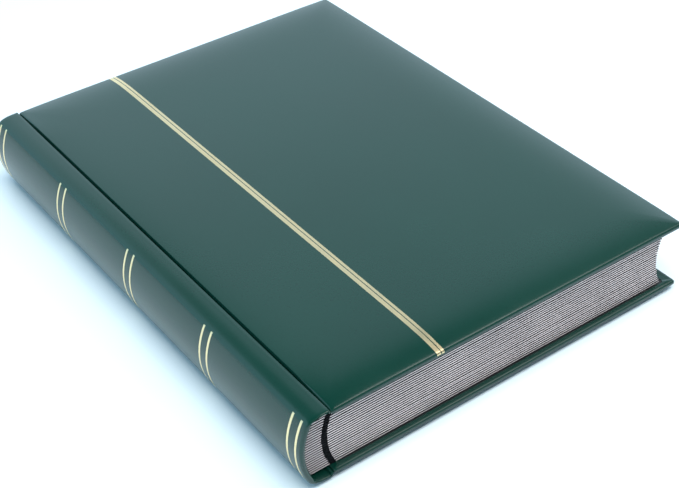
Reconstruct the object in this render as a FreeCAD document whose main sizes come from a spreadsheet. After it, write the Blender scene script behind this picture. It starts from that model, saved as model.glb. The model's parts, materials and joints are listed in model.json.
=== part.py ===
import FreeCAD, Part
import Sketcher
import math
import os
import re

# Stamp album: a padded case of leatherette over boards, and a block of card leaves on linen hinges.
# The frame is +X to the fore-edge, +Y to the head and +Z up, with the origin under the middle.

SIZES = {
    "cover_length": (305, "head to tail of the case"),
    "cover_width": (214.5, "crease to fore-edge of a cover"),
    "spine_depth": (17, "crease to the back of the spine"),
    "spine_radius": (38, "outer radius of the rounded spine"),
    "skin_thickness": (0.6, "leatherette on the covers and the spine"),
    "board_thickness": (2.4, "card board in each cover"),
    "padding_thickness": (1.6, "foam over the middle of each board"),
    "padding_edge": (0.4, "foam pressed down at the edges of each board"),
    "endpaper_thickness": (0.3, "paper pasted inside each cover"),
    "crown_margin": (45, "width of the falling margin of a padded face"),
    "turn_in": (14, "leatherette folded in at the spine's ends"),
    "paper_end": (2.9, "leatherette that shows inside a cover at head and tail"),
    "paper_side": (5.5, "leatherette that shows inside a cover at its sides"),
    "strip_dip": (0.6, "crease end of a joint strip below the cover's edge"),
    "strip_fall": (0.9, "fall of a joint strip from crease to shoulder"),
    "strip_width": (8.5, "flat width of a joint strip"),
    "shoulder_height": (3.8, "height of the curve from joint strip to spine"),
    "inlay_thickness": (1.6, "card strip inside the spine"),
    "back_gap": (0.3, "room between the spine and the backs of the stubs"),
    "leaf_count": (24, "leaves in the block"),
    "leaf_pitch": (1.4, "leaf to leaf"),
    "leaf_thickness": (0.65, "card of one leaf"),
    "leaf_width": (203.1, "linen hinge to fore-edge of a leaf"),
    "leaf_length": (297, "head to tail of a leaf"),
    "stub_width": (10.6, "card stub bound at the spine"),
    "linen_width": (2.2, "linen between stub and leaf"),
    "linen_thickness": (0.7, "linen with its glue, over both faces"),
    "hinge_gap": (0.25, "running room at a linen hinge"),
    "crease_gap": (0.3, "running room at a cover's crease"),
    "glue_gap": (0.05, "room for glue inside a cover and the spine"),
    "strip_count": (9, "clear strips on each face of a leaf"),
    "strip_height": (29, "height of one clear strip"),
    "strip_space": (3, "bare card between clear strips"),
    "strip_film": (0.08, "clear film of a strip"),
    "hinge_margin": (10, "bare card from the linen hinge to the strips"),
    "fore_margin": (5, "bare card from the strips to the fore-edge"),
}

doc = FreeCAD.newDocument("StampAlbum")
sheet = doc.addObject("Spreadsheet::Sheet", "Sizes")
for row, (alias, (number, note)) in enumerate(SIZES.items(), 1):
    sheet.set(f"A{row}", note)
    sheet.set(f"B{row}", str(number))
    sheet.setAlias(f"B{row}", alias)
doc.recompute()

# Places that several pieces share, as expressions of the sizes.
COVER = "(2*skin_thickness + board_thickness + padding_thickness)"
OVERALL = f"(2*{COVER} + leaf_count*leaf_pitch)"
BACK_X = "(-(spine_depth + cover_width)/2)"
CREASE_X = f"({BACK_X} + spine_depth)"
COVER_X = f"({CREASE_X} + crease_gap/2)"
COVER_SPAN = "(cover_width - crease_gap/2)"
COVER_MIDDLE = f"({COVER_X} + {COVER_SPAN}/2)"
EDGE_DROP = "(padding_thickness - padding_edge)"
SPINE_WALL = "(2*skin_thickness + inlay_thickness + 2*glue_gap)"
HINGE_REACH = "(back_gap + stub_width + linen_width + hinge_gap + leaf_thickness/2)"

ALONG_Y = FreeCAD.Rotation(FreeCAD.Vector(1, 0, 0), -90)
UPSIDE_DOWN = FreeCAD.Rotation(FreeCAD.Vector(1, 0, 0), 180)

# Shares of the margin where the fall of a padded face changes its slope.
CROWN_SHARES = (0.2, 0.5, 1)

nodes = []


def size(alias):
    """The number that a cell of the sheet holds."""
    return float(sheet.get(alias))


def bound(text):
    """An expression with the sheet's name put before each size in it."""
    return re.sub(r"[a-z_]+", lambda word: f"Sizes.{word[0]}" if word[0] in SIZES else word[0], text)


def bind(piece, **expressions):
    for name, text in expressions.items():
        piece.setExpression(name, bound(text))
    return piece


def place(piece, x="0", y="0", z="0", turn=None):
    if turn:
        piece.Placement = FreeCAD.Placement(FreeCAD.Vector(), turn)
    for axis, text in zip("xyz", (x, y, z)):
        piece.setExpression(f"Placement.Base.{axis}", bound(text))
    return piece


def box(name, at, sides):
    piece = doc.addObject("Part::Box", name)
    bind(piece, Length=sides[0], Width=sides[1], Height=sides[2])
    return place(piece, *at)


def cylinder(name, at, radius, length, turn):
    piece = doc.addObject("Part::Cylinder", name)
    bind(piece, Radius=radius, Height=length)
    return place(piece, *at, turn=turn)


def boolean(kind, name, base, tool):
    piece = doc.addObject(f"Part::{kind}", name)
    piece.Base = base
    piece.Tool = tool
    return piece


def group(name, solids):
    piece = doc.addObject("Part::Compound", name)
    piece.Links = solids
    return piece


def node(piece, label):
    piece.Label = label
    nodes.append(piece)
    return piece


# Covers. A layer of a cover is given by its depths from the cover's inner face outwards.
def layer_z(side, low, high):
    if side == "front":
        return f"({OVERALL} - {COVER} + {low})"
    return f"({COVER} - ({high}))"


def section(body, name, inset, depth):
    """Sketch of a rectangle about the cover's middle, inset from its edges, at a depth."""
    sketch = body.newObject("Sketcher::SketchObject", name)
    planes = [plane for plane in body.Origin.OriginFeatures if plane.Role == "XY_Plane"]
    sketch.AttachmentSupport = (planes[0], [""])
    sketch.MapMode = "FlatFace"
    sketch.setExpression("AttachmentOffset.Base.z", bound(depth))
    half_x, half_y = size("cover_width") / 2, size("cover_length") / 2
    corners = [(-half_x, -half_y), (half_x, -half_y), (half_x, half_y), (-half_x, half_y)]
    corners = [FreeCAD.Vector(*corner, 0) for corner in corners]
    for side in range(4):
        sketch.addGeometry(Part.LineSegment(corners[side], corners[(side + 1) % 4]))
    for side in range(4):
        sketch.addConstraint(Sketcher.Constraint("Coincident", side, 2, (side + 1) % 4, 1))
        sketch.addConstraint(Sketcher.Constraint("Vertical" if side % 2 else "Horizontal", side))
    sketch.addConstraint(Sketcher.Constraint("Symmetric", 0, 1, 1, 2, -1, 1))
    across = sketch.addConstraint(Sketcher.Constraint("DistanceX", 0, 1, 0, 2, 2 * half_x))
    along = sketch.addConstraint(Sketcher.Constraint("DistanceY", 1, 1, 1, 2, 2 * half_y))
    sketch.setExpression(f"Constraints[{across}]", bound(f"{COVER_SPAN} - 2*{inset}"))
    sketch.setExpression(f"Constraints[{along}]", bound(f"cover_length - 2*{inset}"))
    return sketch


def padded_form(name, side, inset, low, top):
    """A slab whose outer face falls to its edges, as a loft through rectangles on a parabola."""
    body = doc.addObject("PartDesign::Body", name)
    levels = [(inset, low), (inset, f"{top} - {EDGE_DROP}")]
    for share in CROWN_SHARES:
        levels.append((f"crown_margin*{share}", f"{top} - {EDGE_DROP}*{(1 - share) ** 2}"))
    sections = [section(body, f"{name}_level_{step}", *level) for step, level in enumerate(levels)]
    loft = body.newObject("PartDesign::AdditiveLoft", name + "_loft")
    loft.Profile = sections[0]
    loft.Sections = sections[1:]
    loft.Ruled = True
    body.Tip = loft
    base = f"({OVERALL} - {COVER})" if side == "front" else COVER
    return place(body, COVER_MIDDLE, "0", base, turn=UPSIDE_DOWN if side == "back" else None)


def flat_layer(name, side, across, along, low, high):
    """A plain sheet or board of the cover, inset from its sides and from its ends."""
    sides = (f"{COVER_SPAN} - 2*{across}", f"cover_length - 2*{along}", f"{high} - ({low})")
    return box(name, (f"{COVER_X} + {across}", f"{along} - cover_length/2", layer_z(side, low, high)), sides)


def cover(side):
    skin = "skin_thickness"
    fitted = "(skin_thickness + glue_gap)"
    board_top = "(skin_thickness + board_thickness)"
    outer = padded_form(f"{side}_outside", side, "0", "0", COVER)
    hollow = padded_form(f"{side}_hollow", side, skin, skin, f"({COVER} - {skin})")
    shell = boolean("Cut", f"{side}_shell", outer, hollow)
    opening = flat_layer(f"{side}_opening", side, "paper_side", "paper_end", "0", skin)
    node(boolean("Cut", f"{side}_skin_piece", shell, opening), f"{side}_skin")
    node(flat_layer(f"{side}_board_piece", side, fitted, fitted, skin, board_top), f"{side}_board")
    padding = padded_form(f"{side}_padding_piece", side, fitted, board_top, f"({COVER} - {fitted})")
    node(padding, f"{side}_padding")
    paper_low = f"({skin} - endpaper_thickness)"
    paper = flat_layer(f"{side}_paper", side, "(paper_side + glue_gap)", "(paper_end + glue_gap)", paper_low, skin)
    node(paper, f"{side}_endpaper")


# Block. A leaf turns about the middle of its rounded edge, and the stubs follow the spine's curve.
def leaf_z(number):
    """Height of a leaf, counted from the front cover."""
    return f"({OVERALL} - {COVER} - leaf_pitch*{number - 0.5})"


def back_x(number):
    """Inside of the rounded spine at a leaf's height."""
    rise = f"({leaf_z(number)} - {OVERALL}/2)"
    return f"({BACK_X} + spine_radius - sqrt((spine_radius - {SPINE_WALL})^2 - {rise}^2))"


def leaf_hinge(number):
    return f"{back_x(number)} + {HINGE_REACH}", "0", leaf_z(number)


def clear_strips():
    """Clear strips on both faces of a leaf, in the leaf's own frame."""
    rise = "(strip_height + strip_space)"
    first = f"(-(strip_count*{rise} - strip_space)/2)"
    sides = ("leaf_width - hinge_margin - fore_margin", "strip_height", "strip_film")
    strips = []
    for face, z in (("upper", "leaf_thickness/2"), ("lower", "-leaf_thickness/2 - strip_film")):
        for row in range(int(size("strip_count"))):
            corner = ("hinge_margin", f"{first} + {row}*{rise}", z)
            strips.append(box(f"{face}_strip_{row + 1}", corner, sides))
    return strips


def leaves():
    card = box("card", ("0", "-leaf_length/2", "-leaf_thickness/2"),
               ("leaf_width", "leaf_length", "leaf_thickness"))
    edge = cylinder("card_edge", ("0", "-leaf_length/2", "0"), "leaf_thickness/2", "leaf_length", ALONG_Y)
    strips = clear_strips()
    for number in range(1, int(size("leaf_count")) + 1):
        name = f"leaf_{number:02d}"
        node(place(boolean("Fuse", name + "_card", card, edge), *leaf_hinge(number)), name)
        node(place(group(name + "_films", strips), *leaf_hinge(number)), name + "_strips")


def stubs_and_linen():
    stubs = []
    linens = []
    for number in range(1, int(size("leaf_count")) + 1):
        start = f"{back_x(number)} + back_gap"
        z = leaf_z(number)
        stubs.append(box(f"stub_{number:02d}", (start, "-leaf_length/2", f"{z} - leaf_thickness/2"),
                         ("stub_width", "leaf_length", "leaf_thickness")))
        linens.append(box(f"linen_{number:02d}", (f"{start} + stub_width", "-leaf_length/2",
                                                 f"{z} - linen_thickness/2"),
                          ("linen_width", "leaf_length", "linen_thickness")))
    node(group("stub_block", stubs), "leaf_stubs")
    node(group("linen_block", linens), "linen_hinges")


# Spine. Its section is drawn in the XZ plane and drawn out from tail to head.
def point(x, z):
    return FreeCAD.Vector(x, 0, z)


def drawn_out(face, length):
    solid = face.extrude(FreeCAD.Vector(0, length, 0))
    solid.translate(FreeCAD.Vector(0, -length / 2, 0))
    return solid


class SpineSection:
    """Places on the spine's section, worked out from the sizes."""

    def __init__(self):
        cover = 2 * size("skin_thickness") + size("board_thickness") + size("padding_thickness")
        block = size("leaf_count") * size("leaf_pitch")
        self.middle = cover + block / 2
        self.back = -(size("spine_depth") + size("cover_width")) / 2
        self.strip_end = self.back + size("spine_depth") - size("crease_gap") / 2
        self.strip_rise = self.middle - (size("padding_thickness") - size("padding_edge")) - size("strip_dip")
        self.shoulder_rise = self.strip_rise - size("strip_fall")
        self.spine_rise = self.shoulder_rise - size("shoulder_height")
        self.radius = size("spine_radius")
        self.centre = point(self.back + self.radius, self.middle)

    def on_spine(self, depth, rise):
        """Point of the rounded spine, at a depth under its outside and a height over its middle."""
        radius = self.radius - depth
        return point(self.centre.x - math.sqrt(radius ** 2 - rise ** 2), self.middle + rise)

    def sector(self, outer, inner, rise):
        """Face between two depths of the rounded spine, up to a height each side of the middle."""
        outer_arc = Part.Arc(*[self.on_spine(outer, step * rise) for step in (-1, 0, 1)]).toShape()
        inner_arc = Part.Arc(*[self.on_spine(inner, step * rise) for step in (1, 0, -1)]).toShape()
        ends = [Part.makeLine(self.on_spine(outer, rise), self.on_spine(inner, rise)),
                Part.makeLine(self.on_spine(inner, -rise), self.on_spine(outer, -rise))]
        return Part.Face(Part.Wire([outer_arc, ends[0], inner_arc, ends[1]]))

    def shoulder(self, sign):
        """Arc that leaves the rounded spine along its own direction and ends at the joint strip."""
        start = self.on_spine(0, sign * self.spine_rise)
        end = point(self.strip_end - size("strip_width"), self.middle + sign * self.shoulder_rise)
        chord = end - start
        spoke = start - self.centre
        leave = math.atan2(abs(spoke.x), abs(spoke.z))
        turn = leave - math.atan2(abs(chord.z), chord.x)
        bulge = chord.Length / 2 * math.tan(turn / 2)
        out = point(-abs(chord.z), sign * chord.x).normalize()
        return start, start + chord / 2 + out * bulge, end

    def outline(self):
        """Open line of the spine's outside, from the front crease to the back crease."""
        front, back = self.shoulder(1), self.shoulder(-1)
        spine = [self.on_spine(0, step * self.spine_rise) for step in (1, 0, -1)]
        front_end = point(self.strip_end, self.middle + self.strip_rise)
        back_end = point(self.strip_end, self.middle - self.strip_rise)
        return Part.Wire([Part.makeLine(front_end, front[2]), Part.Arc(*reversed(front)).toShape(),
                          Part.Arc(*spine).toShape(), Part.Arc(*back).toShape(),
                          Part.makeLine(back[2], back_end)])


def spine():
    section = SpineSection()
    skin, glue = size("skin_thickness"), size("glue_gap")
    length = size("cover_length")
    inlay_low = skin + glue
    inlay_high = inlay_low + size("inlay_thickness")
    fold = inlay_high + glue
    rise = section.spine_rise
    outside = section.outline().makeOffset2D(skin, join=0, fill=True, openResult=True)
    folded = drawn_out(section.sector(skin / 2, fold + skin, rise), length)
    pocket = drawn_out(section.sector(skin, fold, rise - skin), length - 2 * skin)
    clear = drawn_out(section.sector(inlay_low, fold + 2 * skin, rise - skin), length - 2 * size("turn_in"))
    skin_piece = doc.addObject("Part::Feature", "spine_cover")
    skin_piece.Shape = drawn_out(outside, length).fuse(folded).cut(pocket).cut(clear).removeSplitter()
    node(skin_piece, "spine_skin")
    inlay = doc.addObject("Part::Feature", "spine_card")
    inlay.Shape = drawn_out(section.sector(inlay_low, inlay_high, rise - skin - glue), length - 2 * fold)
    node(inlay, "spine_inlay")


def check(piece):
    if {"Invalid", "Error"} & set(piece.State):
        raise RuntimeError(f"{piece.Name} failed: {piece.State}")


def main():
    cover("front")
    cover("back")
    leaves()
    stubs_and_linen()
    spine()
    doc.recompute()
    for piece in doc.Objects:
        check(piece)
    for piece in nodes:
        if piece.Shape.isNull() or not piece.Shape.isValid() or not piece.Shape.Solids:
            raise RuntimeError(f"{piece.Label} has no valid solid")
    os.makedirs("parts", exist_ok=True)
    for piece in nodes:
        piece.Shape.exportStep(f"parts/{piece.Label}.step")
    whole = Part.makeCompound([piece.Shape for piece in nodes]).BoundBox
    print(len(nodes), "nodes", [round(side, 3) for side in (whole.XLength, whole.YLength, whole.ZLength)])


main()
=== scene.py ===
import json
import math

import bmesh
import bpy
from bpy.props import FloatProperty, FloatVectorProperty, IntProperty, PointerProperty
from mathutils import Matrix, Vector, noise

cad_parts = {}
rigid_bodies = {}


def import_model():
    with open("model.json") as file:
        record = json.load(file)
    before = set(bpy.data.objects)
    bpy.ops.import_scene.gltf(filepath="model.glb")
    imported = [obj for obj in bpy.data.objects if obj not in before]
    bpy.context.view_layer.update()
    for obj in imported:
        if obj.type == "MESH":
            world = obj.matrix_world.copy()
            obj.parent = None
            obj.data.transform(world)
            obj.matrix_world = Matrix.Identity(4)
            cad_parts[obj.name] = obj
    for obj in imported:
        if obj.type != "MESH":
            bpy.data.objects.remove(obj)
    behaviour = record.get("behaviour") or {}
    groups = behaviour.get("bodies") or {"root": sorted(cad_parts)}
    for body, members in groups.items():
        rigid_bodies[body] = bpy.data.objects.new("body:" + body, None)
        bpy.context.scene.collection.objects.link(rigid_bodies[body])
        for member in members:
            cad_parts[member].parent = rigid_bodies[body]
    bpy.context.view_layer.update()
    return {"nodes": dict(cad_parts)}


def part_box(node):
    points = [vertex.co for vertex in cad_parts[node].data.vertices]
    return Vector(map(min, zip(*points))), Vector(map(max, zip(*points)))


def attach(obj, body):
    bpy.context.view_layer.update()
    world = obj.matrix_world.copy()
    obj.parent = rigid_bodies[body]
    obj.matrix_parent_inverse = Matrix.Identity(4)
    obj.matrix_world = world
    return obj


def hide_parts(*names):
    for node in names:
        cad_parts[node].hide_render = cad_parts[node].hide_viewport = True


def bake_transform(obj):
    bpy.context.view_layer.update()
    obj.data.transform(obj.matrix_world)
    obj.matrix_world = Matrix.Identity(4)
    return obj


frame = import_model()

bl_info = {
    "name": "Stamp album",
    "version": (1, 0, 0),
    "blender": (4, 5, 0),
    "location": "View3D > Sidebar > Album",
    "description": "Dresses a padded stamp album with leatherette, gold foil, card leaves and linen",
    "category": "Object",
}

MM = 0.001
SIDES = {"front": 1, "back": -1}
RIM_TURN = math.radians(77.5)
CORNER_REACH = 12 * MM
EDGE_FADE = 20 * MM
LEAVES = sorted(name for name in frame["nodes"] if name.startswith("leaf_") and name[5:].isdigit())


def length(name, description, default):
    """A length of the album in metres, given in millimetres."""
    return FloatProperty(name=name, description=description, default=default * MM, unit="LENGTH", precision=5)


def colour(name, description, default):
    """A colour of a finish, given as linear red, green and blue."""
    return FloatVectorProperty(name=name, description=description, default=(*default, 1), size=4,
                               subtype="COLOR", min=0, max=1)


class AlbumSizes(bpy.types.PropertyGroup):
    """Sizes of the pieces that the scene adds to the frame."""

    skin: length("Skin", "Thickness of the leatherette", 0.6)
    turn_in: length("Turn-in", "Leatherette folded in at the spine's ends", 14)
    paper_end: length("Paper end", "Leatherette that shows inside a cover at head and tail", 2.9)
    paper_side: length("Paper side", "Leatherette that shows inside a cover at its sides", 5.5)
    edge_drop: length("Edge drop", "Fall of a padded face to its edges", 2.1)
    crown_power: FloatProperty(name="Crown power", description="How late a padded face falls", default=4.6)
    crown_margin: length("Crown margin", "Width of the falling margin of a padded face", 45)
    corner_radius: length("Corner radius", "Corners of the covers, in plan", 1.3)
    corner_squeeze: length("Corner squeeze", "Extra fall of the padding at the corners", 0.3)
    crease_fall: FloatProperty(name="Crease fall", description="Share of the fall at the crease side",
                               default=0.35)
    crease_pinch: FloatProperty(name="Crease pinch", description="Share of the rim taken off at the crease",
                                default=0.7)
    rim_radius: length("Rim radius", "Roll of the leatherette over the outer edge", 1.4)
    hem_radius: length("Hem radius", "Roll of the leatherette under the inner edge", 1.0)
    turn_in_sink: length("Turn-in sink", "Depth of the turned-in leatherette below the hem", 0.2)
    mitre_step: length("Mitre step", "Step of the folded leatherette at the mitred corners", 0.28)
    board_bevel: length("Board bevel", "Bevelled margin of a board under the padding", 5)
    bevel_fall: length("Bevel fall", "Fall of a board to its bevelled edges", 1.1)
    quilt: length("Quilt", "Height of the soft unevenness of the padding", 0.05)
    spine_radius: length("Spine radius", "Outer radius of the rounded spine", 38)
    groove_width: length("Groove width", "Width of the crease on the spine side", 0.6)
    groove_depth: length("Groove depth", "Depth of the crease below a joint strip", 1.1)
    strip_width: length("Strip width", "Flat width of a joint strip with its crease", 2.5)
    strip_fall: length("Strip fall", "Fall of the flat of a joint strip", 0.1)
    shoulder_height: length("Shoulder height", "Height of the curve from joint strip to spine", 2.9)
    spine_wall: length("Spine wall", "Thickness of the spine with its card and turned-in ends", 2.9)
    foil_height: length("Foil height", "Thickness of the gold foil", 0.03)
    cover_foil_from_crease: length("Cover foil place", "Crease to the first gold line of the cover", 58)
    cover_foil_wide: length("Wide line", "Width of the wide gold line of the cover", 2.2)
    cover_foil_space: length("Line space", "Green between the two gold lines of the cover", 0.45)
    cover_foil_thin: length("Thin line", "Width of the thin gold line of the cover", 1.5)
    spine_foil_width: length("Spine line", "Width of a gold line on the spine", 1.4)
    spine_foil_apart: length("Spine lines apart", "Middle to middle of a pair of lines", 6.3)
    spine_foil_pitch: length("Pair pitch", "Pair to pair of the gold lines on the spine", 72.6)
    spine_foil_rise: length("Spine line rise", "Ends of the spine lines from the middle height", 18.1)
    spine_foil_pairs: IntProperty(name="Pairs", description="Pairs of gold lines on the spine", default=5)
    leaf_wave: length("Leaf wave", "Waviness of a leaf's head and tail edges", 0.07)
    leaf_trim: length("Leaf trim", "Unevenness of a leaf's cut edges", 0.12)
    leaf_margin: length("Leaf margin", "Bare card outside the clear strips", 4.6)
    linen_bulge: length("Linen bulge", "Outward curve of a linen hinge", 0.22)
    linen_lap: length("Linen lap", "Linen glued over the end of a stub", 0.2)
    linen_on_leaf: length("Linen on leaf", "Linen glued over the hinge edge of a leaf", 0.5)


class AlbumColours(bpy.types.PropertyGroup):
    """Colours of the finishes."""

    leatherette: colour("Leatherette", "Dark green cover", (0.003, 0.037, 0.026))
    gold: colour("Gold", "Foil of the lines", (0.94, 0.76, 0.45))
    leaf_face: colour("Leaf face", "Black card of a leaf", (0.012, 0.012, 0.014))
    leaf_edge: colour("Leaf edge", "Cut edge of a leaf", (0.94, 0.79, 0.77))
    linen: colour("Linen", "Black linen of the hinges", (0.005, 0.005, 0.006))
    endpaper: colour("Endpaper", "Black paper inside the covers", (0.014, 0.014, 0.015))
    board: colour("Board", "Grey board inside the covers", (0.30, 0.27, 0.23))
    film: colour("Film", "Clear strips on the leaves", (0.90, 0.93, 0.95))
    floor: colour("Floor", "Pale floor", (0.82, 0.94, 1.0))
    far_floor: colour("Far floor", "Pale floor away from the album", (1.0, 0.88, 0.74))
    backdrop: colour("Backdrop", "Pale wall that the camera sees", (0.84, 0.87, 0.88))


# Modelling helpers.
def deselect():
    if bpy.context.mode != "OBJECT":
        bpy.ops.object.mode_set(mode="OBJECT")
    bpy.ops.object.select_all(action="DESELECT")


def add(name, primitive, **options):
    """A new primitive, alone selected, with its place in its mesh."""
    deselect()
    primitive(**options)
    piece = bpy.context.object
    piece.name = piece.data.name = name
    bpy.ops.object.transform_apply(location=True, rotation=True, scale=True)
    return piece


def edit(piece):
    deselect()
    piece.select_set(True)
    bpy.context.view_layer.objects.active = piece
    bpy.ops.object.mode_set(mode="EDIT")


def pick(piece, kind, wanted):
    """Select the faces or edges that pass a test, in edit mode, and count them."""
    bpy.ops.mesh.select_mode(type=kind)
    bpy.ops.mesh.select_all(action="DESELECT")
    mesh = bmesh.from_edit_mesh(piece.data)
    chosen = [item for item in (mesh.faces if kind == "FACE" else mesh.edges) if wanted(item)]
    for item in chosen:
        item.select_set(True)
    bmesh.update_edit_mesh(piece.data)
    return len(chosen)


def finish_mesh(piece, angle=math.radians(40), **modifiers):
    """Apply modifiers given as type = settings, and shade the piece smooth by angle."""
    deselect()
    piece.select_set(True)
    bpy.context.view_layer.objects.active = piece
    for kind, settings in modifiers.items():
        modifier = piece.modifiers.new(kind, kind.upper())
        for key, value in settings.items():
            setattr(modifier, key, value)
        bpy.ops.object.modifier_apply(modifier=modifier.name)
    bpy.ops.object.shade_smooth_by_angle(angle=angle)


def lofted(name, lines, closed):
    """A sheet through lines of points, which may be closed rings."""
    count = len(lines[0])
    steps = count if closed else count - 1
    points = [point for line in lines for point in line]
    faces = []
    for row in range(len(lines) - 1):
        for step in range(steps):
            after = (step + 1) % count
            first, second = row * count, (row + 1) * count
            faces.append((first + step, first + after, second + after, second + step))
    if closed:
        faces.append([(len(lines) - 1) * count + step for step in range(count)])
    piece = add(name, bpy.ops.mesh.primitive_plane_add)
    piece.data.clear_geometry()
    piece.data.from_pydata(points, [], faces)
    edit(piece)
    bpy.ops.mesh.select_all(action="SELECT")
    bpy.ops.mesh.normals_make_consistent(inside=False)
    deselect()
    return piece


def dress(piece, body, *replaced, slot=None, materials=()):
    for material in materials:
        piece.data.materials.append(material)
    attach(piece, body)
    if replaced:
        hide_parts(*replaced)


# Node helpers and shared effects.
def node(tree, kind, inputs=None, **settings):
    """A shader node with its settings and its inputs, which are values or other nodes' outputs."""
    made = tree.nodes.new(f"ShaderNode{kind}")
    for key, value in settings.items():
        setattr(made, key, value)
    for key, value in (inputs or {}).items():
        if isinstance(value, bpy.types.NodeSocket):
            tree.links.new(value, made.inputs[key])
        else:
            made.inputs[key].default_value = value
    return made


def ramp(tree, factor, stops):
    """A colour ramp of grey stops, given as place and value."""
    made = node(tree, "ValToRGB", {0: factor})
    for place, _ in stops[2:]:
        made.color_ramp.elements.new(place)
    for element, (place, value) in zip(made.color_ramp.elements, stops):
        element.position = place
        element.color = (value, value, value, 1)
    return made.outputs["Color"]


def mixed(tree, factor, first, second):
    made = node(tree, "Mix", {0: factor}, data_type="RGBA")
    for socket, value in ((6, first), (7, second)):
        if isinstance(value, bpy.types.NodeSocket):
            tree.links.new(value, made.inputs[socket])
        else:
            made.inputs[socket].default_value = value
    return made.outputs[2]


def maths(tree, operation, first, second):
    return node(tree, "Math", {0: first, 1: second}, operation=operation).outputs[0]


def effect(name, inputs, outputs):
    """A node group with float inputs, given with their defaults, a vector input and float outputs."""
    group = bpy.data.node_groups.new(name, "ShaderNodeTree")
    group.interface.new_socket("Vector", in_out="INPUT", socket_type="NodeSocketVector")
    for key, default in inputs.items():
        group.interface.new_socket(key, in_out="INPUT", socket_type="NodeSocketFloat").default_value = default
    for key in outputs:
        group.interface.new_socket(key, in_out="OUTPUT", socket_type="NodeSocketFloat")
    return group, group.nodes.new("NodeGroupInput").outputs, group.nodes.new("NodeGroupOutput").inputs


def pebble_grain():
    """Fine rounded pebbles of leatherette, with a slow change of tone."""
    group, given, result = effect("pebble_grain", {"Scale": 900, "Patch": 14}, ("Height", "Tone"))
    wander = node(group, "TexNoise", {"Vector": given["Vector"], "Scale": 260, "Detail": 2}).outputs["Color"]
    bent = node(group, "MixRGB", {0: 0.0016, 1: given["Vector"], 2: wander}, blend_type="ADD").outputs[0]
    cells = node(group, "TexVoronoi", {"Vector": bent, "Scale": given["Scale"], "Smoothness": 0.6},
                 feature="SMOOTH_F1").outputs["Distance"]
    pores = node(group, "TexNoise", {"Vector": given["Vector"], "Scale": 2200, "Detail": 3}).outputs[0]
    height = maths(group, "MULTIPLY_ADD", cells, -1.0)
    height.node.inputs[2].default_value = 1.0
    group.links.new(maths(group, "ADD", height, maths(group, "MULTIPLY", pores, 0.25)), result["Height"])
    tone = node(group, "TexNoise", {"Vector": given["Vector"], "Scale": given["Patch"], "Detail": 4})
    group.links.new(tone.outputs[0], result["Tone"])
    return group


def paper_fibre():
    """Short fibres and clouds of card and paper."""
    group, given, result = effect("paper_fibre", {"Scale": 700, "Cloud": 40}, ("Height", "Tone"))
    stretched = node(group, "Mapping", {"Vector": given["Vector"], "Scale": (1.0, 0.35, 1.0)}).outputs[0]
    fibres = node(group, "TexNoise", {"Vector": stretched, "Scale": given["Scale"], "Detail": 6,
                                      "Roughness": 0.65}).outputs[0]
    cloud = node(group, "TexNoise", {"Vector": given["Vector"], "Scale": given["Cloud"],
                                     "Detail": 3}).outputs[0]
    group.links.new(fibres, result["Height"])
    group.links.new(maths(group, "ADD", maths(group, "MULTIPLY", fibres, 0.6),
                          maths(group, "MULTIPLY", cloud, 0.4)), result["Tone"])
    return group


def material(name, **plain):
    """A material with its Principled shader's plain values, and its tree and object coordinates."""
    made = bpy.data.materials.new(name)
    made.use_nodes = True
    tree = made.node_tree
    shader = tree.nodes["Principled BSDF"]
    for key, value in plain.items():
        shader.inputs[key.replace("_", " ")].default_value = value
    place = node(tree, "TexCoord").outputs
    return made, tree, shader.inputs, place


def use_effect(tree, group, vector, **values):
    made = node(tree, "Group", node_tree=group)
    tree.links.new(vector, made.inputs["Vector"])
    for key, value in values.items():
        made.inputs[key].default_value = value
    return made.outputs


def bumped(tree, height, strength, distance):
    return node(tree, "Bump", {"Height": height, "Strength": strength, "Distance": distance}).outputs[0]


def shade(tint, factor):
    return (*[channel * factor for channel in tint[:3]], 1)


def leatherette(colours, effects):
    made, tree, shader, place = material("green_leatherette", IOR=1.5)
    grain = use_effect(tree, effects["pebble_grain"], place["Object"], Scale=1100, Patch=16)
    tint = mixed(tree, grain["Tone"], shade(colours.leatherette, 0.86), shade(colours.leatherette, 1.14))
    # Painted shade: the hollows between the pebbles of the grain are mixed towards a darker copy of the
    # green.
    tree.links.new(mixed(tree, ramp(tree, grain["Height"], ((0.25, 0.22), (0.6, 0))), tint,
                         shade(colours.leatherette, 0.55)), shader["Base Color"])
    tree.links.new(ramp(tree, grain["Tone"], ((0.3, 0.18), (0.7, 0.25))), shader["Roughness"])
    tree.links.new(bumped(tree, grain["Height"], 0.16, 0.00006), shader["Normal"])
    return made


def gold_foil(colours, effects):
    made, tree, shader, place = material("gold_foil", Metallic=1.0)
    grain = use_effect(tree, effects["pebble_grain"], place["Object"], Scale=1100, Patch=120)
    tree.links.new(mixed(tree, grain["Tone"], shade(colours.gold, 0.82), shade(colours.gold, 1.1)),
                   shader["Base Color"])
    tree.links.new(ramp(tree, grain["Tone"], ((0.3, 0.34), (0.7, 0.5))), shader["Roughness"])
    tree.links.new(bumped(tree, grain["Height"], 0.15, 0.00006), shader["Normal"])
    return made


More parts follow.
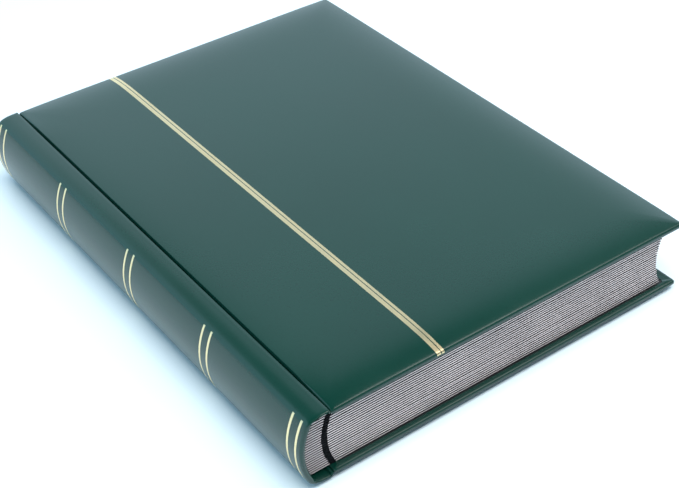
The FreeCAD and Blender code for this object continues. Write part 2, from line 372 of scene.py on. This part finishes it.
def card(name, face, edge, effects):
    """Card that is one colour on its faces and another on its cut edges."""
    made, tree, shader, place = material(name, Specular_IOR_Level=0.2)
    fibre = use_effect(tree, effects["paper_fibre"], place["Object"], Scale=900, Cloud=55)
    upright = node(tree, "SeparateXYZ", {0: place["Normal"]}).outputs["Z"]
    cut = maths(tree, "LESS_THAN", node(tree, "Math", {0: upright}, operation="ABSOLUTE").outputs[0], 0.6)
    face_tint = mixed(tree, fibre["Tone"], shade(face, 0.7), shade(face, 1.4))
    edge_tone = ramp(tree, fibre["Tone"], ((0.3, 0), (0.7, 1)))
    edge_tint = mixed(tree, edge_tone, shade(edge, 0.72), shade(edge, 1.08))
    tree.links.new(mixed(tree, cut, face_tint, edge_tint), shader["Base Color"])
    tree.links.new(ramp(tree, fibre["Tone"], ((0.2, 0.55), (0.8, 0.75))), shader["Roughness"])
    tree.links.new(bumped(tree, fibre["Height"], 0.25, 0.00005), shader["Normal"])
    return made


def paper(name, tint, roughness, effects):
    made, tree, shader, place = material(name)
    fibre = use_effect(tree, effects["paper_fibre"], place["Object"], Scale=650, Cloud=30)
    tree.links.new(mixed(tree, fibre["Tone"], shade(tint, 0.72), shade(tint, 1.3)), shader["Base Color"])
    tree.links.new(ramp(tree, fibre["Tone"], ((0.2, roughness - 0.08), (0.8, roughness + 0.1))),
                   shader["Roughness"])
    tree.links.new(bumped(tree, fibre["Height"], 0.3, 0.00008), shader["Normal"])
    return made


def linen_weave(colours, effects):
    made, tree, shader, place = material("linen_weave", Specular_IOR_Level=0.1)
    warp = node(tree, "TexWave", {"Vector": place["Object"], "Scale": 420, "Distortion": 1.2, "Detail": 2},
                bands_direction="X").outputs["Fac"]
    weft = node(tree, "TexWave", {"Vector": place["Object"], "Scale": 420, "Distortion": 1.2, "Detail": 2},
                bands_direction="Y").outputs["Fac"]
    weave = maths(tree, "MAXIMUM", warp, weft)
    fibre = use_effect(tree, effects["paper_fibre"], place["Object"], Scale=1200, Cloud=200)
    # Lighter threads: partly the weave's own tone, partly painted glints of the shiny linen.
    thread_tone_and_glints = maths(tree, "MULTIPLY", weave, fibre["Tone"])
    tree.links.new(mixed(tree, thread_tone_and_glints, shade(colours.linen, 0.4), shade(colours.linen, 3)),
                   shader["Base Color"])
    tree.links.new(ramp(tree, weave, ((0.1, 0.95), (0.9, 0.75))), shader["Roughness"])
    tree.links.new(bumped(tree, weave, 0.6, 0.0002), shader["Normal"])
    return made


def clear_film(colours):
    made, tree, shader, place = material("glossy_film", Base_Color=colours.film, IOR=1.48, Alpha=0.11)
    ripple = node(tree, "TexNoise", {"Vector": place["Object"], "Scale": 25, "Detail": 1}).outputs[0]
    tree.links.new(ramp(tree, ripple, ((0.3, 0.26), (0.7, 0.36))), shader["Roughness"])
    tree.links.new(bumped(tree, ripple, 0.1, 0.0004), shader["Normal"])
    return made


def finishes():
    """Materials by name, made once."""
    if "green_leatherette" not in bpy.data.materials:
        colours = bpy.context.scene.album_colours
        effects = {"pebble_grain": pebble_grain(), "paper_fibre": paper_fibre()}
        leatherette(colours, effects)
        gold_foil(colours, effects)
        card("black_leaf_card", colours.leaf_face, colours.leaf_edge, effects)
        card("black_stub_card", colours.leaf_face, shade(colours.leaf_edge, 0.85), effects)
        paper("black_endpaper", colours.endpaper, 0.6, effects)
        paper("grey_board", colours.board, 0.8, effects)
        linen_weave(colours, effects)
        clear_film(colours)
    return bpy.data.materials


def finish_node(name, finish):
    """Give a CAD node that stays its finish."""
    frame["nodes"][name].data.materials.clear()
    frame["nodes"][name].data.materials.append(finishes()[finish])


# Covers.
def rounded_ring(low, high, inset, radius, corner_steps=6, side_steps=26):
    """Points of a rectangle with round corners, inset from its outline, anticlockwise from above."""
    points = []
    right, top = high.x - inset - radius, high.y - inset - radius
    left, bottom = low.x + inset + radius, low.y + inset + radius
    reach = [(right, top), (left, top), (left, bottom), (right, bottom)]
    for corner, (x, y) in enumerate(reach):
        for step in range(corner_steps + 1):
            turn = math.pi / 2 * (corner + step / corner_steps)
            points.append(Vector((x + radius * math.cos(turn), y + radius * math.sin(turn), 0)))
        start, end = points[-1], reach[(corner + 1) % 4]
        turn = math.pi / 2 * (corner + 1)
        end = Vector((end[0] + radius * math.cos(turn), end[1] + radius * math.sin(turn), 0))
        for step in range(1, side_steps):
            points.append(start.lerp(end, step / side_steps))
    return points


def fall(sizes, inset):
    """Fall of a padded face at a distance from its edge, starting where its rolled rim ends."""
    start = sizes.rim_radius * (1 - math.cos(RIM_TURN))
    reach = max(0, inset - start) / (sizes.crown_margin - start)
    return sizes.edge_drop * max(0, 1 - reach) ** sizes.crown_power


def cover_profile(sizes, rise):
    """Insets and heights from the turned-in hem, round the edge and over the crown."""
    hem, rim = sizes.hem_radius, sizes.rim_radius
    profile = [(sizes.paper_end * share, 0) for share in (1, 0.75, 0.5)]
    for step in range(5):
        turn = math.pi / 2 * step / 4
        profile.append((hem * (1 - math.sin(turn)), hem * (1 - math.cos(turn))))
    edge = rise - sizes.edge_drop
    for step in range(8):
        turn = RIM_TURN * step / 7
        profile.append((rim * (1 - math.cos(turn)), edge - rim * (math.sin(RIM_TURN) - math.sin(turn))))
    for share in (0.045, 0.07, 0.1, 0.14, 0.19, 0.25, 0.32, 0.4, 0.5, 0.62, 0.75, 0.88, 1):
        inset = sizes.crown_margin * share
        profile.append((inset, rise - fall(sizes, inset)))
    for share in (1.3, 1.6, 1.9, 2.15, 2.3):
        profile.append((sizes.crown_margin * share, rise))
    return profile


def padded_cover(sizes, side):
    """Leatherette over one padded board: full at the crease, falling to the other edges and turned in."""
    out = SIDES[side]
    low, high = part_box(f"{side}_skin")
    inner = low.z if out > 0 else high.z
    centre, rise = (low.x + high.x) / 2, high.z - low.z
    hem, rim, edge = sizes.hem_radius, sizes.rim_radius, rise - sizes.edge_drop
    rings = []
    for inset, height in cover_profile(sizes, rise):
        room = (high.x - low.x) / 2 - inset
        ring = rounded_ring(low, high, inset, min(sizes.corner_radius + 0.3 * inset, 0.6 * room))
        on_top = min(1, max(0, height - hem) / (edge - hem))
        turned_in = inset > hem and height == 0
        for point in ring:
            from_side, from_end = min(high.x - point.x, point.x - low.x), high.y - abs(point.y)
            drop = sizes.corner_squeeze * math.exp(-(math.hypot(from_side, from_end) / CORNER_REACH) ** 2)
            if point.x < low.x + inset + MM:
                crease = on_top * min(1, max(0, from_end - inset) / EDGE_FADE)
                drop -= crease * (1 - sizes.crease_fall) * fall(sizes, inset)
                point.x -= crease * sizes.crease_pinch * min(inset, rim)
            quilt = (1 - noise.noise(point * 14 + Vector((0, 0, 3.7 * out)))) / 2
            drop += sizes.quilt * quilt * min(1, inset / EDGE_FADE)
            if turned_in:
                wider = (sizes.paper_side - sizes.paper_end) * (inset - hem) / (sizes.paper_end - hem)
                point.x += (centre - point.x) * wider / room
                drop = sizes.turn_in_sink - sizes.mitre_step * min(1, max(0, (from_end - from_side) / MM))
            point.z = inner + out * (height - drop * (turned_in or on_top))
        rings.append(ring)
    return lofted(f"{side}_padded_cover", rings, closed=True)


def separate_band(piece, name, wanted):
    """Copy the faces that pass a test into a piece of their own."""
    before = set(bpy.data.objects)
    pick(piece, "FACE", wanted)
    bpy.ops.mesh.duplicate()
    bpy.ops.mesh.separate(type="SELECTED")
    deselect()
    band = (set(bpy.data.objects) - before).pop()
    band.name = band.data.name = name
    return band


def cut_planes(piece, axis, places):
    """Cut the whole mesh where an axis has these values."""
    direction = [float(axis == step) for step in range(3)]
    for place in places:
        bpy.ops.mesh.select_all(action="SELECT")
        bpy.ops.mesh.bisect(plane_co=[place * part for part in direction], plane_no=direction)


def foil_from(piece, name, sizes, wanted, body):
    """Gold foil on the faces that pass a test, just proud of them."""
    band = separate_band(piece, name, wanted)
    finish_mesh(band, solidify={"thickness": sizes.foil_height, "offset": 1.0, "use_even_offset": True})
    dress(band, body, materials=[finishes()["gold_foil"]])
    return band


def cover_foil(sizes, cover):
    """Two gold lines from head to tail, over the rolled edges."""
    low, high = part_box("front_skin")
    start = low.x + sizes.cover_foil_from_crease
    places = [start, start + sizes.cover_foil_wide]
    places.append(places[-1] + sizes.cover_foil_space)
    places.append(places[-1] + sizes.cover_foil_thin)
    edge = high.z - sizes.edge_drop - sizes.rim_radius
    edit(cover)
    cut_planes(cover, 0, places)

    def on_line(face):
        x, _, z = face.calc_center_median()
        return z > edge and (places[0] < x < places[1] or places[2] < x < places[3])

    foil_from(cover, "front_foil_lines", sizes, on_line, "front_cover")


class ALBUM_OT_covers(bpy.types.Operator):
    """Model the padded covers and the gold lines of the front one"""

    bl_idname = "album.covers"
    bl_label = "Padded covers"

    def execute(self, context):
        sizes = context.scene.album_sizes
        for side in SIDES:
            cover = padded_cover(sizes, side)
            if side == "front":
                cover_foil(sizes, cover)
            finish_mesh(cover, solidify={"thickness": sizes.skin, "offset": -1.0})
            dress(cover, f"{side}_cover", f"{side}_skin", f"{side}_padding", slot="leatherette",
                  materials=[finishes()["green_leatherette"]])
        return {"FINISHED"}


# Spine.
def spine_line(sizes):
    """Points and outward directions along the spine's outside, from the front crease to the back one."""
    low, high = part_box("spine_skin")
    middle = (low.z + high.z) / 2
    level = high.z - middle
    rise = level - sizes.shoulder_height
    centre, radius = low.x + sizes.spine_radius, sizes.spine_radius
    groove = [Vector((high.x - sizes.groove_width * across, 0, level - sizes.groove_depth * down))
              for across, down in ((0, 1), (0.45, 1), (0.68, 0.75), (0.82, 0.33), (1.0, 0.08), (1.35, 0))]
    strip_end = Vector((high.x - sizes.strip_width, 0, level - sizes.strip_fall))
    start = Vector((centre - math.sqrt(radius ** 2 - rise ** 2), 0, rise))
    lean = Vector((rise, 0, centre - start.x)) / radius
    corner = start + lean * (strip_end.z - start.z) / lean.z
    steps = [count / 16 for count in range(17)]
    shoulder = [strip_end * (1 - step) ** 2 + corner * 2 * step * (1 - step) + start * step ** 2
                for step in steps]
    reach = math.asin(rise / radius)
    spine = [Vector((centre - radius * math.cos(reach * share), 0, radius * math.sin(reach * share)))
             for share in (0.92, 0.84, 0.7, 0.53, 0.36, 0.18)]
    half = groove + shoulder + spine
    whole = half + [Vector((low.x, 0, 0))] + [Vector((point.x, 0, -point.z)) for point in reversed(half)]
    line = []
    for place, point in enumerate(whole):
        run = (whole[min(len(whole) - 1, place + 1)] - whole[max(0, place - 1)]).normalized()
        full = min(1, max(0, (strip_end.z - abs(point.z)) / sizes.shoulder_height)) * (point.x < strip_end.x)
        line.append((point + Vector((0, 0, middle)), Vector((run.z, 0, -run.x)), full))
    return line


def spine_piece(sizes):
    """Leatherette over the spine, turned in over the card at head and tail."""
    line = spine_line(sizes)
    stations = []
    end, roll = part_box("spine_skin")[1].y, sizes.spine_wall / 2
    for step in range(3):
        stations.append((end - sizes.turn_in + (sizes.turn_in - roll) * step / 2, 1))
    for step in range(1, 8):
        turn = math.pi * step / 8
        stations.append((end - roll + roll * math.sin(turn), (1 + math.cos(turn)) / 2))
    lengthwise = 60
    middle = [((end - roll) * (1 - 2 * step / lengthwise), 0) for step in range(lengthwise + 1)]
    stations = stations + middle + [(-y, depth) for y, depth in reversed(stations)]
    lines = []
    thin = 2 * sizes.skin
    for y, depth in stations:
        points = []
        for point, out, full in line:
            wall = thin + (sizes.spine_wall - thin) * full
            points.append(point - out * wall * depth + Vector((0, y, 0)))
        lines.append(points)
    return lofted("spine_leatherette", lines, closed=False)


def spine_foil(sizes, spine):
    """Pairs of gold lines across the spine."""
    low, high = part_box("spine_skin")
    middle = (low.z + high.z) / 2
    half = sizes.spine_foil_width / 2
    count = sizes.spine_foil_pairs
    lines = []
    for pair in range(count):
        centre = sizes.spine_foil_pitch * (pair - (count - 1) / 2)
        for step in (-0.5, 0.5):
            lines.append(centre + step * sizes.spine_foil_apart)
    edit(spine)
    cut_planes(spine, 1, [line + step for line in lines for step in (-half, half)])
    cut_planes(spine, 2, [middle - sizes.spine_foil_rise, middle + sizes.spine_foil_rise])

    def on_line(face):
        x, y, z = face.calc_center_median()
        outside = face.normal.x < -0.1 and abs(face.normal.y) < 0.3 and x < high.x - sizes.strip_width
        low_enough = abs(z - middle) < sizes.spine_foil_rise
        return outside and low_enough and any(abs(y - line) < half for line in lines)

    foil_from(spine, "spine_foil_lines", sizes, on_line, "binding")


class ALBUM_OT_spine(bpy.types.Operator):
    """Model the rounded spine with its joint strips and gold lines"""

    bl_idname = "album.spine"
    bl_label = "Spine"

    def execute(self, context):
        sizes = context.scene.album_sizes
        spine = spine_piece(sizes)
        spine_foil(sizes, spine)
        finish_mesh(spine, solidify={"thickness": sizes.skin, "offset": -1.0})
        dress(spine, "binding", "spine_skin", slot="leatherette", materials=[finishes()["green_leatherette"]])
        return {"FINISHED"}


# Block.
def leaf_master(sizes, name):
    """One leaf as a board with a round hinge edge, divided along its edges."""
    low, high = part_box(name)
    low.x += sizes.linen_on_leaf
    leaf = add("leaf_master", bpy.ops.mesh.primitive_cube_add, size=1, location=(low + high) / 2,
               scale=high - low)
    edit(leaf)
    pick(leaf, "EDGE", lambda edge: max(vert.co.x for vert in edge.verts) < low.x + MM
         and abs(edge.verts[0].co.y - edge.verts[1].co.y) > MM)
    bpy.ops.mesh.bevel(offset=(high.z - low.z) * 0.45, segments=4, affect="EDGES")
    along, across = 24, 18
    cut_planes(leaf, 1, [low.y + (high.y - low.y) * step / along for step in range(1, along)]
               + [low.y + sizes.leaf_margin, high.y - sizes.leaf_margin])
    cut_planes(leaf, 0, [low.x + (high.x - low.x) * step / across for step in range(1, across)])
    deselect()
    return leaf


class ALBUM_OT_leaves(bpy.types.Operator):
    """Model the card leaves, each a little uneven along its cut edges"""

    bl_idname = "album.leaves"
    bl_label = "Leaves"

    def execute(self, context):
        sizes = context.scene.album_sizes
        master = leaf_master(sizes, LEAVES[0])
        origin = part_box(LEAVES[0])[0]
        for number, name in enumerate(LEAVES, 1):
            low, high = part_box(name)
            leaf = master.copy()
            leaf.data = master.data.copy()
            leaf.name = leaf.data.name = f"{name}_card"
            context.collection.objects.link(leaf)
            inside = Vector((high.x, high.y, high.z)) - Vector((1, 1, 0)) * sizes.leaf_margin
            for vert in leaf.data.vertices:
                place = vert.co + (low - origin)
                seed = Vector((place.x * 16, place.y * 16, number * 7.3))
                out_y = max(0, abs(place.y) - inside.y) / sizes.leaf_margin
                out_x = max(0, place.x - inside.x) / sizes.leaf_margin
                place.z += sizes.leaf_wave * noise.noise(seed) * max(out_x, out_y) ** 2
                trim = sizes.leaf_trim * noise.noise(Vector((number * 3.1, 0.5, 0)))
                place.y += math.copysign(out_y, place.y) * trim
                place.x += out_x * sizes.leaf_trim * noise.noise(Vector((number * 2.3, 4.5, 0)))
                vert.co = place
            finish_mesh(leaf, math.radians(30))
            dress(leaf, name, name, slot="leaf_card", materials=[finishes()["black_leaf_card"]])
            finish_node(f"{name}_strips", "glossy_film")
        bpy.data.objects.remove(master)
        return {"FINISHED"}


def linen_band(number, low, high, sizes):
    """One linen hinge, folded round so that it is thickest in the middle."""
    band = add(f"linen_band_{number:02d}", bpy.ops.mesh.primitive_cube_add, size=1, location=(low + high) / 2,
               scale=high - low)
    edit(band)
    widthwise, lengthwise = 8, 40
    cut_planes(band, 0, [low.x + (high.x - low.x) * step / widthwise for step in range(1, widthwise)])
    cut_planes(band, 1, [low.y + (high.y - low.y) * step / lengthwise for step in range(1, lengthwise)])
    deselect()
    middle = (low + high) / 2
    for vert in band.data.vertices:
        across = 2 * (vert.co.x - middle.x) / (high.x - low.x)
        uneven = noise.noise(Vector((vert.co.y * 40, number * 5.1, 0)))
        bulge = sizes.linen_bulge * (1 - across ** 2) * (0.75 + 0.5 * uneven)
        vert.co.z += math.copysign(bulge, vert.co.z - middle.z)
        fray = 0.15 + 0.4 * noise.noise(Vector((across, number * 3.7, 2.2)))
        vert.co.y += math.copysign(fray * MM, vert.co.y) * (abs(vert.co.y) > high.y - MM)
    finish_mesh(band, bevel={"width": 0.12 * MM, "segments": 2, "limit_method": "ANGLE"})
    return band


class ALBUM_OT_hinges(bpy.types.Operator):
    """Model the linen hinges and finish the stubs that they hang from"""

    bl_idname = "album.hinges"
    bl_label = "Linen hinges"

    def execute(self, context):
        sizes = context.scene.album_sizes
        vertices = [vert.co for vert in frame["nodes"]["linen_hinges"].data.vertices]
        for number, name in enumerate(LEAVES, 1):
            leaf_low, leaf_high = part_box(name)
            height = (leaf_low.z + leaf_high.z) / 2
            own = [point for point in vertices if abs(point.z - height) < leaf_high.z - leaf_low.z]
            low, high = (Vector(end(point[axis] for point in own) for axis in range(3)) for end in (min, max))
            on_stub, on_leaf = (noise.noise(Vector((number * 4.7, row, 0.3))) for row in (0.5, 9.5))
            low.x -= sizes.linen_lap * (1 + 2 * on_stub)
            high.x = leaf_low.x + sizes.linen_on_leaf * (1.3 + 0.5 * on_leaf)
            band = linen_band(number, low, high, sizes)
            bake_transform(band)
            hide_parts("linen_hinges")
            band.data.materials.append(finishes()["linen_weave"])
        finish_node("leaf_stubs", "black_stub_card")
        return {"FINISHED"}


def bevelled_board(sizes, side):
    """A board whose outer face falls a little to its edges, under the padding."""
    low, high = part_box(f"{side}_board")
    outer = high.z if SIDES[side] > 0 else low.z
    board = add(f"{side}_bevelled_board", bpy.ops.mesh.primitive_cube_add, size=1, location=(low + high) / 2,
                scale=high - low)
    edit(board)
    pick(board, "FACE", lambda face: abs(face.calc_center_median().z - outer) < MM / 10)
    bpy.ops.mesh.inset(thickness=sizes.board_bevel)
    pick(board, "EDGE", lambda edge: all(abs(vert.co.z - outer) < MM / 10 and (
        vert.co.x < low.x + MM or vert.co.x > high.x - MM) for vert in edge.verts))
    bpy.ops.transform.translate(value=(0, 0, -SIDES[side] * sizes.bevel_fall))
    deselect()
    return board


class ALBUM_OT_linings(bpy.types.Operator):
    """Model the boards and finish the endpapers and the spine card"""

    bl_idname = "album.linings"
    bl_label = "Linings"

    def execute(self, context):
        sizes = context.scene.album_sizes
        for side in SIDES:
            board = bevelled_board(sizes, side)
            finish_mesh(board, bevel={"width": 0.3 * MM, "segments": 2, "limit_method": "ANGLE"})
            dress(board, f"{side}_cover", f"{side}_board", slot="greyboard",
                  materials=[finishes()["grey_board"]])
            finish_node(f"{side}_endpaper", "black_endpaper")
        finish_node("spine_inlay", "grey_board")
        return {"FINISHED"}


# Stage.
def floor(colours):
    piece = add("floor", bpy.ops.mesh.primitive_plane_add, size=8)
    made, tree, shader, place = material("pale_floor", Roughness=0.9)
    tone = node(tree, "TexNoise", {"Vector": place["Object"], "Scale": 3, "Detail": 2}).outputs[0]
    near = mixed(tree, tone, shade(colours.floor, 0.99), shade(colours.floor, 1.0))
    reach = node(tree, "VectorMath", {0: place["Object"]}, operation="LENGTH").outputs["Value"]
    away = node(tree, "MapRange", {0: reach, 1: 0.5, 2: 1.3}).outputs[0]
    tree.links.new(mixed(tree, away, near, colours.far_floor), shader["Base Color"])
    piece.data.materials.append(made)


def surroundings(colours):
    """Pale cool walls, a darker room above and in front of the album, and a dark screen high on the left."""
    world = bpy.data.worlds.new("studio")
    bpy.context.scene.world = world
    world.use_nodes = True
    tree = world.node_tree
    place = node(tree, "TexCoord").outputs["Generated"]
    direction = node(tree, "SeparateXYZ", {0: place}).outputs
    height = node(tree, "VectorMath", {0: place, 1: (0.2, 0, 1)}, operation="DOT_PRODUCT").outputs["Value"]
    glow = ramp(tree, height, ((0, 1), (0.575, 0.96), (0.62, 0.84), (0.645, 0.76), (0.69, 0.67), (0.75, 0.56),
                               (0.82, 0.36), (0.865, 0.07), (1, 0.04)))
    high_up = node(tree, "MapRange", {0: height, 1: 0.68, 2: 0.75}).outputs[0]
    leftward = node(tree, "MapRange", {0: direction["X"], 1: 0.31, 2: 0.22}).outputs[0]
    screen = maths(tree, "MULTIPLY", maths(tree, "MULTIPLY", high_up, leftward), 0.8)
    glow = mixed(tree, screen, glow, (0, 0, 0, 1))
    rightward = node(tree, "MapRange", {0: direction["X"], 1: -0.5, 2: 0.3}).outputs[0]
    behind = node(tree, "MapRange", {0: direction["Y"], 1: -0.6, 2: -0.1}).outputs[0]
    wall = mixed(tree, rightward, (0.52, 0.83, 1.03, 1), (0.8, 1.0, 1.18, 1))
    tint = mixed(tree, behind, (0.16, 0.2, 0.23, 1), wall)
    tinted = node(tree, "MixRGB", {0: 1.0, 1: glow, 2: tint}, blend_type="MULTIPLY").outputs[0]
    light = tree.nodes["Background"]
    tree.links.new(tinted, light.inputs["Color"])
    light.inputs["Strength"].default_value = 1.45
    wall_seen = node(tree, "Background", {"Color": colours.backdrop})
    seen = node(tree, "LightPath").outputs["Is Camera Ray"]
    both = node(tree, "MixShader", {0: seen, 1: light.outputs[0], 2: wall_seen.outputs[0]})
    tree.links.new(both.outputs[0], tree.nodes["World Output"].inputs["Surface"])


def softbox(name, place, aim, size, power):
    data = bpy.data.lights.new(name, "AREA")
    data.shape = "RECTANGLE"
    data.size, data.size_y = size
    data.energy = power
    lamp = bpy.data.objects.new(name, data)
    bpy.context.collection.objects.link(lamp)
    lamp.location = place
    lamp.rotation_euler = (Vector(aim) - Vector(place)).to_track_quat("-Z", "Y").to_euler()
    return lamp


def camera():
    """The photograph's viewpoint, as a target, a distance and three angles."""
    target = Vector((-18.95, -47.8, 29.9)) * MM
    distance = 710 * MM
    azimuth, elevation, roll = (math.radians(angle) for angle in (-34.41, 37.6, -2.49))
    back = Vector((math.sin(azimuth) * math.cos(elevation), -math.cos(azimuth) * math.cos(elevation),
                   math.sin(elevation)))
    right = Vector((0, 0, 1)).cross(back).normalized()
    up = back.cross(right)
    turned_right = right * math.cos(roll) + up * math.sin(roll)
    data = bpy.data.cameras.new("camera")
    data.sensor_width = 36
    data.lens = 74.57
    data.clip_start = 0.01
    made = bpy.data.objects.new("camera", data)
    bpy.context.collection.objects.link(made)
    axes = Matrix((turned_right, back.cross(turned_right), back)).transposed().to_4x4()
    made.matrix_world = Matrix.Translation(target + back * distance) @ axes
    bpy.context.scene.camera = made


class ALBUM_OT_stage(bpy.types.Operator):
    """Add the floor, the soft light and the camera"""

    bl_idname = "album.stage"
    bl_label = "Stage"

    def execute(self, context):
        floor(context.scene.album_colours)
        surroundings(context.scene.album_colours)
        softbox("overhead", (-0.1, -0.4, 1.5), (0, 0, 0), (1.1, 1.1), 25).visible_glossy = False
        softbox("edge_light", (0.72, -0.32, 1.39), (0, 0, 0), (0.8, 0.8), 7)
        camera()
        context.scene.view_settings.view_transform = "Standard"
        return {"FINISHED"}


class ALBUM_PT_panel(bpy.types.Panel):
    """Sizes, colours and pieces of the album"""

    bl_label = "Stamp album"
    bl_idname = "ALBUM_PT_panel"
    bl_space_type = "VIEW_3D"
    bl_region_type = "UI"
    bl_category = "Album"

    def draw(self, context):
        for operator in OPERATORS:
            self.layout.operator(operator.bl_idname)
        for group in (context.scene.album_sizes, context.scene.album_colours):
            for name in group.__annotations__:
                self.layout.prop(group, name)


OPERATORS = (ALBUM_OT_covers, ALBUM_OT_spine, ALBUM_OT_leaves, ALBUM_OT_hinges, ALBUM_OT_linings,
             ALBUM_OT_stage)
CLASSES = (AlbumSizes, AlbumColours, *OPERATORS, ALBUM_PT_panel)


def register():
    for each in CLASSES:
        bpy.utils.register_class(each)
    bpy.types.Scene.album_sizes = PointerProperty(type=AlbumSizes)
    bpy.types.Scene.album_colours = PointerProperty(type=AlbumColours)


def unregister():
    del bpy.types.Scene.album_colours
    del bpy.types.Scene.album_sizes
    for each in reversed(CLASSES):
        bpy.utils.unregister_class(each)


def main():
    register()
    bpy.ops.album.covers()
    bpy.ops.album.spine()
    bpy.ops.album.leaves()
    bpy.ops.album.hinges()
    bpy.ops.album.linings()
    bpy.ops.album.stage()


if __name__ == "__main__":
    main()
